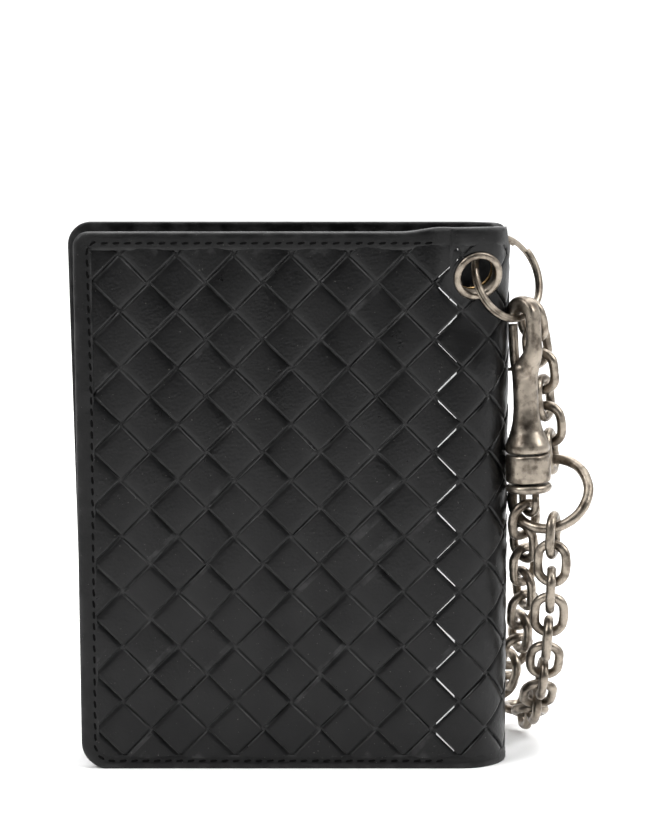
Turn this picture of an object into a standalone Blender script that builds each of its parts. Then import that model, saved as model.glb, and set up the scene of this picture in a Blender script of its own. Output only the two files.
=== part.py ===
"""A folded leather wallet that stands on its lower edge, with a split ring, a snap hook and a chain."""

import math

import bmesh
import bpy
from mathutils import Matrix, Vector

# Wallet: x runs from the open edge to the spine, y from front (-) to back (+), z up. Metres.
HEIGHT = 0.120
LEATHER = 0.0020  # woven cover
FRONT_FACE = -0.0190  # outer face of the front cover
BACK_FACE = 0.0010  # outer face of the back cover
OPEN_EDGE = -0.0470
BACK_LEAN = 0.0025  # how much further the back cover's open edge stands out at the top
COVER_END = 0.0332  # where both covers stop at the spine leather
SPINE_START = 0.0338
BEND_X = 0.0370  # centre of the spine's round bend
MIDDLE_Y = (FRONT_FACE + BACK_FACE) / 2
BEND_OUTER = (BACK_FACE - FRONT_FACE) / 2
GAP = 0.0003  # between pieces that touch

# Inner leaves of each half, from the cover inwards
LINING = 0.0008
BILL_GAP = 0.0010  # the long pocket, between lining and bill wall
CARD_SLOT = 0.0009
CARD_SLOTS = 4
CARD_STEP = 0.0120  # each card slot stands this much higher than the one over it
LEAF_RIGHT = 0.0320

# Eyelet and split ring
EYELET_X, EYELET_Z = 0.0396, 0.1101
EYELET_HOLE, EYELET_BARREL, EYELET_FLANGE = 0.0040, 0.0045, 0.0056  # radii
FLANGE = 0.0006
BUMP, BUMP_FROM, BUMP_RISE = 0.0032, 0.1040, 0.0140  # the leather pushed out above the eyelet
PINCH_SLOPE, PINCH_FROM, PINCH_RISE = 0.30, 0.0880, 0.0120  # the bend drawn flat towards the top
RING_CENTRE = Vector((0.0468, -0.0125, 0.1087))
RING_DOWN = Vector((0.459, 0.0, -0.888)).normalized()
RING_SIDE = Vector((0.630, 0.705, 0.326)).normalized()
RING_RADIUS, RING_WIRE = 0.0093, 0.0012
RING_TURN_GAP = 0.0002

# Chain
WIRE = 0.0011  # radius
LINK_LENGTH, LINK_WIDTH = 0.0109, 0.0086
PITCH = LINK_LENGTH - 4 * WIRE - 0.00045
UPPER_PITCH = 0.00608  # the upper strand carries the rest and hangs nearly taut
BIG_RING_CENTRE = Vector((0.0568, -0.0117, 0.0606))
BIG_RING_RADIUS, BIG_RING_WIRE = 0.0087, 0.00125
BIG_RING_NORMAL = Vector((0.313, 0.744, -0.590)).normalized()

X, Y, Z = Vector((1, 0, 0)), Vector((0, 1, 0)), Vector((0, 0, 1))

for old in list(bpy.data.objects):
    bpy.data.objects.remove(old, do_unlink=True)


def material(name, colour, roughness, metallic=0.0):
    made = bpy.data.materials.new(name)
    made.use_nodes = True
    shader = made.node_tree.nodes["Principled BSDF"]
    shader.inputs["Base Color"].default_value = (*colour, 1)
    shader.inputs["Roughness"].default_value = roughness
    shader.inputs["Metallic"].default_value = metallic
    return made


BLACK_LEATHER = material("black_leather", (0.022, 0.022, 0.024), 0.45)
LINING_LEATHER = material("lining_leather", (0.030, 0.028, 0.027), 0.60)
AGED_SILVER = material("aged_silver", (0.52, 0.47, 0.41), 0.33, 1.0)
DARK_SILVER = material("dark_silver", (0.36, 0.32, 0.28), 0.40, 1.0)
AGED_BRASS = material("aged_brass", (0.48, 0.36, 0.20), 0.38, 1.0)
SPRING_STEEL = material("spring_steel", (0.55, 0.55, 0.56), 0.30, 1.0)


def finished(name, mesh_edit, surface, origin=(0, 0, 0), smooth=True):
    """Makes the object of a bmesh that was built in world coordinates, with its origin where it turns."""
    bmesh.ops.recalc_face_normals(mesh_edit, faces=mesh_edit.faces)
    mesh_edit.transform(Matrix.Translation(-Vector(origin)))
    mesh = bpy.data.meshes.new(name)
    mesh_edit.to_mesh(mesh)
    mesh_edit.free()
    if smooth:
        mesh.shade_smooth()
        mesh.set_sharp_from_angle(angle=math.radians(40))
    mesh.materials.append(surface)
    made = bpy.data.objects.new(name, mesh)
    made.location = origin
    bpy.context.scene.collection.objects.link(made)
    return made


def follow(child, parent):
    """Parents child to parent and keeps it where it is: every object here is only moved, never turned."""
    child.parent = parent
    child.matrix_parent_inverse = Matrix.Translation(-parent.matrix_world.translation)
    bpy.context.view_layer.update()


def cut(target, cutter, operation="DIFFERENCE"):
    step = target.modifiers.new(cutter.name, "BOOLEAN")
    step.object = cutter
    step.operation = operation
    step.solver = "EXACT"
    cutter.hide_render = True
    cutter.display_type = "WIRE"


def rounded(corners, steps=5):
    """An outline in x and z from (x, z, radius) corners, each turned into an arc."""
    points = []
    for index, (x, z, radius) in enumerate(corners):
        here = Vector((x, z))
        before = (Vector(corners[index - 1][:2]) - here).normalized()
        after = (Vector(corners[(index + 1) % len(corners)][:2]) - here).normalized()
        if radius == 0:
            points.append(here)
            continue
        half = before.angle(after) / 2
        centre = here + (before + after).normalized() * radius / math.sin(half)
        start = here + before * radius / math.tan(half) - centre
        end = here + after * radius / math.tan(half) - centre
        for step in range(steps + 1):
            arm = start.lerp(end, step / steps).normalized() * radius
            points.append(centre + arm)
    return points


def panel(name, corners, y_near, y_far, surface):
    """A flat sheet of leather with the given outline."""
    edit = bmesh.new()
    outline = [edit.verts.new((p.x, y_near, p.y)) for p in rounded(corners)]
    face = edit.faces.new(outline)
    moved = bmesh.ops.extrude_face_region(edit, geom=[face])
    bmesh.ops.translate(
        edit,
        verts=[v for v in moved["geom"] if isinstance(v, bmesh.types.BMVert)],
        vec=(0, y_far - y_near, 0),
    )
    return finished(name, edit, surface)


def bridge(edit, rows, closed):
    """Joins rows of vertices, each a closed loop, and caps the ends unless the rows close on themselves."""
    pairs = list(zip(rows, rows[1:] + rows[:1] if closed else rows[1:]))
    for row, following in pairs:
        for i in range(len(row)):
            j = (i + 1) % len(row)
            edit.faces.new((row[i], row[j], following[j], following[i]))
    if not closed:
        edit.faces.new(rows[0][::-1])
        edit.faces.new(rows[-1])


def swept(edit, centres, frames, sections, closed=False):
    """A bar through the centres. Each frame holds two directions, and each section its points along them."""
    rows = []
    for centre, (across, over), section in zip(centres, frames, sections):
        rows.append([edit.verts.new(centre + across * a + over * b) for a, b in section])
    bridge(edit, rows, closed)


def circle(radius, sides):
    turn = 2 * math.pi / sides
    return [(radius * math.cos(turn * i), radius * math.sin(turn * i)) for i in range(sides)]


def perpendicular(direction):
    other = X if abs(direction.x) < 0.9 else Y
    first = direction.cross(other).normalized()
    return first, direction.cross(first).normalized()


def turned(edit, base, axis, profile, sides):
    """A closed round piece: profile lists (height along the axis, radius) pairs round its whole section."""
    first, second = perpendicular(axis)
    rows = []
    for step in range(sides):
        angle = 2 * math.pi * step / sides
        arm = first * math.cos(angle) + second * math.sin(angle)
        rows.append([edit.verts.new(base + axis * h + arm * r) for h, r in profile])
    bridge(edit, rows, closed=True)


def solid_turned(edit, base, axis, profile, sides):
    """The same without a hole: the profile's ends are closed by flat caps."""
    first, second = perpendicular(axis)
    rows = []
    for height, radius in profile:
        ring = circle(radius, sides)
        rows.append([edit.verts.new(base + axis * height + first * a + second * b) for a, b in ring])
    bridge(edit, rows, closed=False)


def oval_link(edit, centre, along, normal, length, width, wire, ends=5, sides=6):
    """A closed link: two half circles and two straights, bent from round wire."""
    across = normal.cross(along).normalized()
    mean = width / 2 - wire
    straight = length / 2 - wire - mean
    centres, frames = [], []
    for end in (1, -1):
        for step in range(ends + 1):
            angle = math.pi * step / ends
            arm = (across * math.cos(angle) + along * math.sin(angle)) * end
            centres.append(centre + along * straight * end + arm * mean)
            frames.append((arm, normal))
    swept(edit, centres, frames, [circle(wire, sides)] * len(centres), closed=True)


def round_ring(edit, centre, normal, radius, wire, steps, sides):
    first, second = perpendicular(normal)
    centres, frames = [], []
    for step in range(steps):
        angle = 2 * math.pi * step / steps
        arm = first * math.cos(angle) + second * math.sin(angle)
        centres.append(centre + arm * radius)
        frames.append((arm, normal))
    swept(edit, centres, frames, [circle(wire, sides)] * steps, closed=True)


def smoothstep(value):
    value = min(max(value, 0), 1)
    return value * value * (3 - 2 * value)


# Covers --------------------------------------------------------------------
front_cover = panel(
    "front_cover",
    (
        (OPEN_EDGE, 0, 0.006),
        (COVER_END, 0, 0),
        (COVER_END, HEIGHT - 0.0010, 0),
        (OPEN_EDGE - 0.0006, HEIGHT - 0.0010, 0.003),
    ),
    FRONT_FACE,
    FRONT_FACE + LEATHER,
    BLACK_LEATHER,
)
back_cover = panel(
    "back_cover",
    (
        (OPEN_EDGE - 0.0010, 0, 0.006),
        (COVER_END, 0, 0),
        (COVER_END, HEIGHT, 0),
        (OPEN_EDGE - 0.0010 - BACK_LEAN, HEIGHT, 0.005),
    ),
    BACK_FACE - LEATHER,
    BACK_FACE,
    BLACK_LEATHER,
)


def half(name, inner_face, inwards, left, cover):
    """The lining, the bill wall and the card slots of one half, stacked from the cover's inner face."""
    near = inner_face + inwards * GAP
    leaf = [(left, 0.0010, 0.005), (LEAF_RIGHT, 0.0010, 0), (LEAF_RIGHT, 0.1172, 0), (left, 0.1172, 0.003)]
    lining = panel(name + "_lining", leaf, near, near + inwards * LINING, LINING_LEATHER)
    near += inwards * (LINING + BILL_GAP)
    wall = [(left, 0.0010, 0.005), (LEAF_RIGHT, 0.0010, 0), (LEAF_RIGHT, 0.1100, 0), (left, 0.1100, 0.003)]
    bill_wall = panel(name + "_bill_wall", wall, near, near + inwards * LINING, LINING_LEATHER)
    near += inwards * (LINING + GAP)
    pieces = [lining, bill_wall]
    for slot in range(CARD_SLOTS):
        top = 0.1010 - slot * CARD_STEP
        outline = [
            (left + 0.0005, 0.0015, 0.005),
            (LEAF_RIGHT - 0.0005, 0.0015, 0),
            (LEAF_RIGHT - 0.0005, top, 0.001),
            (left + 0.0005, top, 0.001),
        ]
        pieces.append(
            panel(f"{name}_card_slot_{slot + 1}", outline, near, near + inwards * CARD_SLOT, LINING_LEATHER)
        )
        near += inwards * (CARD_SLOT + GAP)
    for piece in pieces:
        follow(piece, cover)


half("front", FRONT_FACE + LEATHER, 1, OPEN_EDGE + 0.0010, front_cover)
half("back", BACK_FACE - LEATHER, -1, OPEN_EDGE - 0.0002, back_cover)


# Spine ---------------------------------------------------------------------
def spine_section(outer, thickness, start, bend_steps=12):
    """The U of the spine seen from above: its outer side, then its inner side on the way back."""
    section = []
    for radius, order in ((outer, 1), (outer - thickness, -1)):
        side = [(start, MIDDLE_Y - radius)]
        for step in range(bend_steps + 1):
            angle = -math.pi / 2 + math.pi * step / bend_steps
            side.append((BEND_X + radius * math.cos(angle), MIDDLE_Y + radius * math.sin(angle)))
        side.append((start, MIDDLE_Y + radius))
        section += side[::order]
    return section


def bump(y, z):
    """How far the leather over the eyelet is pushed out by the ring that runs behind it."""
    on_front = smoothstep((MIDDLE_Y - y) / (BEND_OUTER * 0.8))
    return -BUMP * smoothstep((z - BUMP_FROM) / BUMP_RISE) * on_front


def pinch(x, y, z, inset):
    """How far the front leg leans in where the ring draws it flat; inset is the depth below its outer face."""
    flat = FRONT_FACE + (x - SPINE_START) * PINCH_SLOPE + inset * math.hypot(1, PINCH_SLOPE)
    if y > MIDDLE_Y or flat < y:
        return 0
    return (flat - y) * smoothstep((z - PINCH_FROM) / PINCH_RISE)


def u_shell(name, outer, thickness, start, levels, surface, bumped):
    edit = bmesh.new()
    rows = []
    for z in levels:
        row = []
        for index, (x, y) in enumerate(spine_section(outer, thickness, start)):
            inset = BEND_OUTER - outer + (thickness if index >= len(spine_section(outer, thickness, start)) // 2 else 0)
            shift = pinch(x, y, z, inset) + bump(y, z) if bumped else 0
            row.append(edit.verts.new((x, y + shift, z)))
        rows.append(row)
    bridge(edit, rows, closed=False)
    return finished(name, edit, surface)


spine_levels = [0, PINCH_FROM, 0.0920, 0.0960, 0.1000, BUMP_FROM, 0.1065, 0.1090, 0.1115, 0.1140, 0.1165, HEIGHT]
spine_cover = u_shell("spine_cover", BEND_OUTER, LEATHER, SPINE_START, spine_levels, BLACK_LEATHER, True)
spine_lining = u_shell(
    "spine_lining", BEND_OUTER - LEATHER - GAP, LINING, 0.0345, [0.0015, 0.0870], LINING_LEATHER, False
)
follow(spine_lining, spine_cover)

eyelet_turn = math.atan(PINCH_SLOPE)
eyelet_lean = math.atan(1.5 * BUMP / BUMP_RISE * 0.9)
EYELET_AXIS = Vector(
    (
        math.sin(eyelet_turn) * math.cos(eyelet_lean),
        -math.cos(eyelet_turn) * math.cos(eyelet_lean),
        -math.sin(eyelet_lean),
    )
)
eyelet_y = FRONT_FACE + (EYELET_X - SPINE_START) * PINCH_SLOPE + LEATHER / 2 / math.cos(eyelet_turn)
EYELET_CENTRE = Vector((EYELET_X, eyelet_y + bump(FRONT_FACE, EYELET_Z), EYELET_Z))

hole_edit = bmesh.new()
solid_turned(
    hole_edit,
    EYELET_CENTRE,
    EYELET_AXIS,
    [(-0.004, EYELET_BARREL + 0.0004), (0.004, EYELET_BARREL + 0.0004)],
    24,
)
cut(spine_cover, finished("eyelet_cutter", hole_edit, BLACK_LEATHER))
notch_edit = bmesh.new()
bmesh.ops.create_cube(
    notch_edit, size=1, matrix=Matrix.LocRotScale(Vector((0.0470, -0.0085, 0.1215)), None, Vector((0.008, 0.0085, 0.0108)))
)
cut(spine_cover, finished("notch_cutter", notch_edit, BLACK_LEATHER, smooth=False))

# A flange on the leather and a short barrel through it, set over a washer behind
eyelet_edit = bmesh.new()
front = LEATHER / 2 + 0.0005
turned(
    eyelet_edit,
    EYELET_CENTRE,
    EYELET_AXIS,
    [
        (-front, EYELET_HOLE),
        (front + FLANGE, EYELET_HOLE),
        (front + FLANGE, EYELET_FLANGE - 0.0003),
        (front, EYELET_FLANGE),
        (front, EYELET_BARREL),
        (-front, EYELET_BARREL),
    ],
    24,
)
eyelet = finished("eyelet", eyelet_edit, AGED_SILVER)
follow(eyelet, spine_cover)
washer_edit = bmesh.new()
turned(
    washer_edit,
    EYELET_CENTRE,
    EYELET_AXIS,
    [
        (-front - FLANGE - 0.0002, EYELET_HOLE + 0.0002),
        (-front - 0.0003, EYELET_HOLE + 0.0002),
        (-front - 0.0003, EYELET_FLANGE - 0.0008),
        (-front - FLANGE - 0.0002, EYELET_FLANGE - 0.0010),
    ],
    24,
)
follow(finished("eyelet_washer", washer_edit, AGED_BRASS), spine_cover)

# Split ring: two turns of half-round spring wire ----------------------------
RING_NORMAL = RING_DOWN.cross(RING_SIDE).normalized()
ring_edit = bmesh.new()
turn_steps = 28
turn_height = RING_WIRE / 2
ring_centres, ring_frames = [], []
ring_section = [
    (-RING_WIRE / 2, -turn_height / 2),
    (RING_WIRE / 2, -turn_height / 2),
    (RING_WIRE / 2, turn_height / 2),
    (-RING_WIRE / 2, turn_height / 2),
]
for step in range(2 * turn_steps - 1):
    angle = 2 * math.pi * step / turn_steps
    arm = RING_DOWN * math.cos(angle + math.pi * 0.7) + RING_SIDE * math.sin(angle + math.pi * 0.7)
    rise = (turn_height + RING_TURN_GAP) * (step / turn_steps - 1)
    ring_centres.append(RING_CENTRE + arm * RING_RADIUS + RING_NORMAL * rise)
    ring_frames.append((arm, RING_NORMAL))
swept(ring_edit, ring_centres, ring_frames, [ring_section] * len(ring_centres))
split_ring = finished("split_ring", ring_edit, AGED_SILVER, RING_CENTRE)
follow(split_ring, spine_cover)


def on_ring(degrees):
    """The middle of the split ring's wire, counted from its lowest point towards the back."""
    angle = math.radians(degrees)
    return RING_CENTRE + (RING_DOWN * math.cos(angle) + RING_SIDE * math.sin(angle)) * RING_RADIUS


# Snap hook -------------------------------------------------------------------
# Built along its own axis: up the shank, across the loop towards the back of the arm.
HOOK_UP = Vector((-0.045, 0.0, 0.999)).normalized()
HOOK_ACROSS = Vector((0.70, -0.714, 0.0))
HOOK_ACROSS = (HOOK_ACROSS - HOOK_UP * HOOK_ACROSS.dot(HOOK_UP)).normalized()
HOOK_NORMAL = HOOK_UP.cross(HOOK_ACROSS).normalized()
HOOK_SEAT = on_ring(-12) + HOOK_ACROSS * 0.0006
HOOK_BASE = HOOK_SEAT - HOOK_UP * 0.0386  # the lower face of the swivel's rim


def in_hook(across, up, over=0.0):
    return HOOK_BASE + HOOK_ACROSS * across + HOOK_UP * up + HOOK_NORMAL * over


ARM = 0.0026
LOOP_THICK = 0.0034
LOOP_HALF = 0.0030  # loop centre line, each side of the axis
loop_path = [(0.0, 0.0262), (0.0012, 0.0285), (0.0026, 0.0312)]
loop_path += [(LOOP_HALF, 0.0345), (LOOP_HALF, 0.0375)]
loop_path += [
    (LOOP_HALF * math.cos(math.radians(a)), 0.0385 + 0.0032 * math.sin(math.radians(a)))
    for a in (0, 30, 60, 90, 120, 150, 180)
]
loop_path += [(-LOOP_HALF, 0.0376)]
loop_widths = [0.0052, 0.0044, 0.0034, ARM, ARM, ARM, 0.0030, 0.0034, 0.0036, 0.0034, 0.0028, 0.0024, 0.0022]


def bar_section(width, thickness):
    """Eight sides, a rectangle with cut corners."""
    w, t, c = width / 2, thickness / 2, 0.25 * min(width, thickness)
    return [(w, -t + c), (w, t - c), (w - c, t), (-w + c, t), (-w, t - c), (-w, -t + c), (-w + c, -t), (w - c, -t)]


loop_edit = bmesh.new()
loop_centres = [in_hook(a, u) for a, u in loop_path]
loop_frames = []
for index in range(len(loop_centres)):
    ahead = loop_centres[min(index + 1, len(loop_centres) - 1)] - loop_centres[max(index - 1, 0)]
    loop_frames.append((ahead.normalized().cross(HOOK_NORMAL).normalized(), HOOK_NORMAL))
thicknesses = [0.0052, 0.0046, 0.0040] + [LOOP_THICK] * 8 + [0.0030, 0.0028]
loop_sections = [bar_section(w, t) for w, t in zip(loop_widths, thicknesses)]
swept(loop_edit, loop_centres, loop_frames, loop_sections)
hook_loop = finished("hook_loop_cutter", loop_edit, AGED_SILVER, HOOK_SEAT)

shank_edit = bmesh.new()
shank_profile = [
    (0.0089, 0.0030),
    (0.0089, 0.0047),
    (0.0098, 0.0049),
    (0.0112, 0.0047),
    (0.0136, 0.0038),
    (0.0165, 0.0029),
    (0.0200, 0.0027),
    (0.0245, 0.0028),
    (0.0275, 0.0030),
    (0.0290, 0.0024),
]
solid_turned(shank_edit, HOOK_BASE, HOOK_UP, shank_profile, 20)
hook_body = finished("hook_body", shank_edit, AGED_SILVER, HOOK_SEAT)
cut(hook_body, hook_loop, "UNION")
follow(hook_body, split_ring)

# The recess that the gate's foot stands in
recess_edit = bmesh.new()
bmesh.ops.create_cube(
    recess_edit,
    size=1,
    matrix=Matrix.LocRotScale(
        in_hook(-0.0039, 0.0279),
        Matrix((HOOK_ACROSS, HOOK_NORMAL, HOOK_UP)).transposed().to_quaternion(),
        Vector((0.0058, 0.0026, 0.0044)),
    ),
)
cut(hook_body, finished("recess_cutter", recess_edit, AGED_SILVER, smooth=False))

# Gate: a flat bar from the recess up to the tip, on a pin across the recess
GATE_PIVOT = in_hook(-0.0026, 0.0274)
gate_edit = bmesh.new()
gate_path = [(-0.0026, 0.0263), (-0.0026, 0.0274), (-0.0029, 0.0300), (-0.0030, 0.0340), (-0.0030, 0.0372)]
gate_widths = [0.0014, 0.0020, 0.0020, 0.0020, 0.0018]
swept(
    gate_edit,
    [in_hook(a, u) for a, u in gate_path],
    [(HOOK_ACROSS, HOOK_NORMAL)] * len(gate_path),
    [bar_section(w, 0.0018) for w in gate_widths],
)
hook_gate = finished("hook_gate", gate_edit, AGED_SILVER, GATE_PIVOT)
pin_hole_edit = bmesh.new()
pin_base = GATE_PIVOT - HOOK_NORMAL * 0.0030
solid_turned(pin_hole_edit, pin_base, HOOK_NORMAL, [(0, 0.00055), (0.0060, 0.00055)], 10)
pin_hole = finished("pin_hole_cutter", pin_hole_edit, AGED_SILVER)
cut(hook_gate, pin_hole)
cut(hook_body, pin_hole)
follow(hook_gate, hook_body)
pin_edit = bmesh.new()
pin_base = GATE_PIVOT - HOOK_NORMAL * 0.0022
solid_turned(pin_edit, pin_base, HOOK_NORMAL, [(0, 0.0004), (0.0044, 0.0004)], 10)
follow(finished("gate_pin", pin_edit, DARK_SILVER), hook_body)

# Leaf spring that lies in the recess behind the gate's foot
spring_edit = bmesh.new()
spring_path = [(-0.00130, 0.0262), (-0.00120, 0.0270), (-0.00112, 0.0278), (-0.00112, 0.0286)]
swept(
    spring_edit,
    [in_hook(a, u) for a, u in spring_path],
    [(HOOK_ACROSS, HOOK_NORMAL)] * len(spring_path),
    [bar_section(0.0002, 0.0014)] * len(spring_path),
)
follow(finished("gate_spring", spring_edit, SPRING_STEEL), hook_body)

# Swivel: a barrel closed by a rim, turning on a headed pin in the shank, with an eye below ------
SWIVEL_ORIGIN = in_hook(0, 0)
barrel_edit = bmesh.new()
turned(
    barrel_edit,
    HOOK_BASE,
    HOOK_UP,
    [(0.0022, 0.0020), (0.0086, 0.0020), (0.0086, 0.0046), (0.0080, 0.0050), (0.0028, 0.0050), (0.0022, 0.0048)],
    24,
)
swivel_barrel = finished("swivel_barrel", barrel_edit, AGED_SILVER, SWIVEL_ORIGIN)
follow(swivel_barrel, hook_body)
rim_edit = bmesh.new()
solid_turned(
    rim_edit, HOOK_BASE, HOOK_UP, [(0, 0.0046), (0.0004, 0.0051), (0.0015, 0.0051), (0.0019, 0.0048)], 24
)
swivel_rim = finished("swivel_rim", rim_edit, AGED_SILVER, SWIVEL_ORIGIN)
follow(swivel_rim, swivel_barrel)
bearing_edit = bmesh.new()
turned_profile = [(0.0024, 0.0017), (0.0066, 0.0017), (0.0070, 0.0010), (0.0086, 0.0010)]
solid_turned(bearing_edit, HOOK_BASE, HOOK_UP, turned_profile, 14)
follow(finished("swivel_pin", bearing_edit, DARK_SILVER, SWIVEL_ORIGIN), hook_body)

# The eye: a round-wire U whose legs stand in the rim
EYE_WIRE, EYE_HALF, EYE_DROP = 0.0009, 0.0025, 0.0048
eye_across = Vector((-0.52, 0.854, 0.0))
eye_across = (eye_across - HOOK_UP * eye_across.dot(HOOK_UP)).normalized()
eye_path = [in_hook(0, -0.0003) - eye_across * EYE_HALF]
for step in range(9):
    angle = math.pi * step / 8
    drop = (EYE_DROP - EYE_HALF) + EYE_HALF * math.sin(angle)
    eye_path.append(in_hook(0, 0) - eye_across * EYE_HALF * math.cos(angle) - HOOK_UP * drop)
eye_path.append(in_hook(0, -0.0003) + eye_across * EYE_HALF)
eye_normal = HOOK_UP.cross(eye_across).normalized()
eye_edit = bmesh.new()
eye_frames = []
for index in range(len(eye_path)):
    ahead = eye_path[min(index + 1, len(eye_path) - 1)] - eye_path[max(index - 1, 0)]
    eye_frames.append((ahead.normalized().cross(eye_normal).normalized(), eye_normal))
swept(eye_edit, eye_path, eye_frames, [circle(EYE_WIRE, 8)] * len(eye_path))
swivel_eye = finished("swivel_eye", eye_edit, AGED_SILVER, SWIVEL_ORIGIN)
follow(swivel_eye, swivel_barrel)


# Chain -------------------------------------------------------------------------
def smooth_route(points, spacing):
    """Centres at equal spacing along a smooth curve through the given points, with its directions."""
    points = [Vector(p) for p in points]
    ends = [2 * points[0] - points[1]] + points + [2 * points[-1] - points[-2]]
    fine = []
    for a, b, c, d in zip(ends, ends[1:], ends[2:], ends[3:]):
        for step in range(40):
            t = step / 40
            fine.append(
                0.5 * ((2 * b) + (c - a) * t + (2 * a - 5 * b + 4 * c - d) * t**2 + (3 * b - a - 3 * c + d) * t**3)
            )
    fine.append(points[-1])
    centres, directions, run = [fine[0]], [(fine[1] - fine[0]).normalized()], 0.0
    for here, following in zip(fine, fine[1:]):
        run += (following - here).length
        if run >= spacing:
            centres.append(following)
            directions.append((following - here).normalized())
            run -= spacing
    return centres, directions


def strand(name, route, pitch, turns, parent):
    """Links hung one in the next along a route.

    turns gives the angle, in degrees, of each link's face from the front.
    """
    centres, directions = smooth_route(route, pitch)
    made = []
    for index, degrees in enumerate(turns):
        centre, along = centres[index], -directions[index]
        side = (X - along * along.x).normalized()
        turn = math.radians(degrees)
        normal = along.cross(side) * math.cos(turn) + side * math.sin(turn)
        edit = bmesh.new()
        oval_link(edit, centre, along, normal, LINK_LENGTH, LINK_WIDTH, WIRE)
        hinge = centre + along * (LINK_LENGTH / 2 - WIRE)
        link = finished(f"{name}_{index + 1}", edit, AGED_SILVER, hinge)
        follow(link, parent)
        parent = link
        made.append(link)
    return made


UPPER_HANG = on_ring(20)
UPPER_ROUTE = [
    UPPER_HANG + Vector((-0.0004, 0, -0.0027)),
    (0.0541, -0.0083, 0.0917),
    (0.0559, -0.0071, 0.0791),
    (0.0573, -0.0064, 0.0694),
]
upper_links = strand("upper_link", UPPER_ROUTE, UPPER_PITCH, (43, 136, 24, 118, 19, 107), split_ring)

big_edit = bmesh.new()
round_ring(big_edit, BIG_RING_CENTRE, BIG_RING_NORMAL, BIG_RING_RADIUS, BIG_RING_WIRE, 24, 8)
adjuster_ring = finished("adjuster_ring", big_edit, AGED_SILVER, (0.0575, -0.0065, 0.0676))
follow(adjuster_ring, upper_links[-1])

RING_ROUTE = [
    (0.0571, -0.0173, 0.0523),
    (0.0569, -0.0176, 0.0463),
    (0.0566, -0.0165, 0.0360),
    (0.0562, -0.0132, 0.0260),
    (0.0556, -0.0075, 0.0170),
    (0.0548, 0.0000, 0.0100),
    (0.0538, 0.0090, 0.0060),
    (0.0528, 0.0180, 0.0048),
    (0.0520, 0.0340, 0.0046),
]
RING_TURNS = (107, 20, 95, 5, 95, 5, 92, 0, 90, 0, 90, 0)
ring_links = strand("ring_link", RING_ROUTE, PITCH, RING_TURNS, adjuster_ring)

HOOK_ROUTE = [
    (0.0510, -0.0128, 0.0550),
    (0.0511, -0.0100, 0.0502),
    (0.0514, -0.0082, 0.0445),
    (0.0517, -0.0046, 0.0352),
    (0.0511, -0.0002, 0.0260),
    (0.0492, 0.0045, 0.0175),
    (0.0468, 0.0100, 0.0104),
    (0.0446, 0.0168, 0.0064),
    (0.0430, 0.0240, 0.0049),
    (0.0418, 0.0345, 0.0046),
]
HOOK_TURNS = (147, 49, 141, 62, 150, 64, 155, 68, 160, 76, 168, 84)
hook_links = strand("hook_link", HOOK_ROUTE, PITCH, HOOK_TURNS, swivel_eye)

# The rest of the chain lies gathered behind the wallet, held here as one low mound
run_edit = bmesh.new()
RUN_LEFT, RUN_RIGHT, RUN_NEAR, RUN_FAR, RUN_TOP = -0.014, 0.048, 0.0405, 0.0665, 0.0085
run_radius = (RUN_FAR - RUN_NEAR) / 2
run_rows = []
for inset, z in ((0.0012, 0.0), (0, 0.0012), (0, 0.0060), (0.0025, RUN_TOP)):
    row = []
    for end, centre_x in ((1, RUN_RIGHT - run_radius), (-1, RUN_LEFT + run_radius)):
        for step in range(9):
            angle = -math.pi / 2 + math.pi * step / 8
            reach = (run_radius - inset) * end
            row.append(
                run_edit.verts.new(
                    (
                        centre_x + reach * math.cos(angle),
                        (RUN_NEAR + RUN_FAR) / 2 + reach * math.sin(angle),
                        z,
                    )
                )
            )
    run_rows.append(row)
bridge(run_edit, run_rows, closed=False)
chain_run = finished("chain_run", run_edit, AGED_SILVER, ((RUN_LEFT + RUN_RIGHT) / 2, (RUN_NEAR + RUN_FAR) / 2, 0))
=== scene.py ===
import math

import bmesh
import bpy
import numpy as np
from mathutils import Matrix, Vector


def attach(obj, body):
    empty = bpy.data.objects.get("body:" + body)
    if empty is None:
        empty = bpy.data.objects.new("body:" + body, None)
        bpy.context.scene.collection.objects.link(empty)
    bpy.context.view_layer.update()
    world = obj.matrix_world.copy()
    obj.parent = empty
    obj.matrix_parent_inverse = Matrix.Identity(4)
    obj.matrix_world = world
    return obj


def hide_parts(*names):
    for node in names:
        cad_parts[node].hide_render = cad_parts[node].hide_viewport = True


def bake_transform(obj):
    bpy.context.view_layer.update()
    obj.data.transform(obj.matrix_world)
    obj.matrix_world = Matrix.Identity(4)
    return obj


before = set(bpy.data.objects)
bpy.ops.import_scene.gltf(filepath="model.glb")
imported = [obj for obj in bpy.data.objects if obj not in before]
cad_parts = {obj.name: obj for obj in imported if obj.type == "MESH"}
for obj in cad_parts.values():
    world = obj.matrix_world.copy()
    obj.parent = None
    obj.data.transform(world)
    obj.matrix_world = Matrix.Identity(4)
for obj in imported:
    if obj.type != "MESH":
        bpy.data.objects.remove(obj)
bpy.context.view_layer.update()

# Camera --------------------------------------------------------------------------
# Stands a little over half a metre before the front cover and looks slightly down on it.
def placed(name, data):
    """An object of the scene that carries this mesh, lamp or camera."""
    made = bpy.data.objects.new(name, data)
    bpy.context.scene.collection.objects.link(made)
    return made


CAMERA_TILT = 7.9  # degrees below level
camera_data = bpy.data.cameras.new("camera")
camera_data.lens = 116.9
camera = placed("camera", camera_data)
camera.location = (0.0064, -0.609, 0.160)
camera.rotation_euler = (math.radians(90 - CAMERA_TILT), 0, 0)
bpy.context.scene.camera = camera

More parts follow.
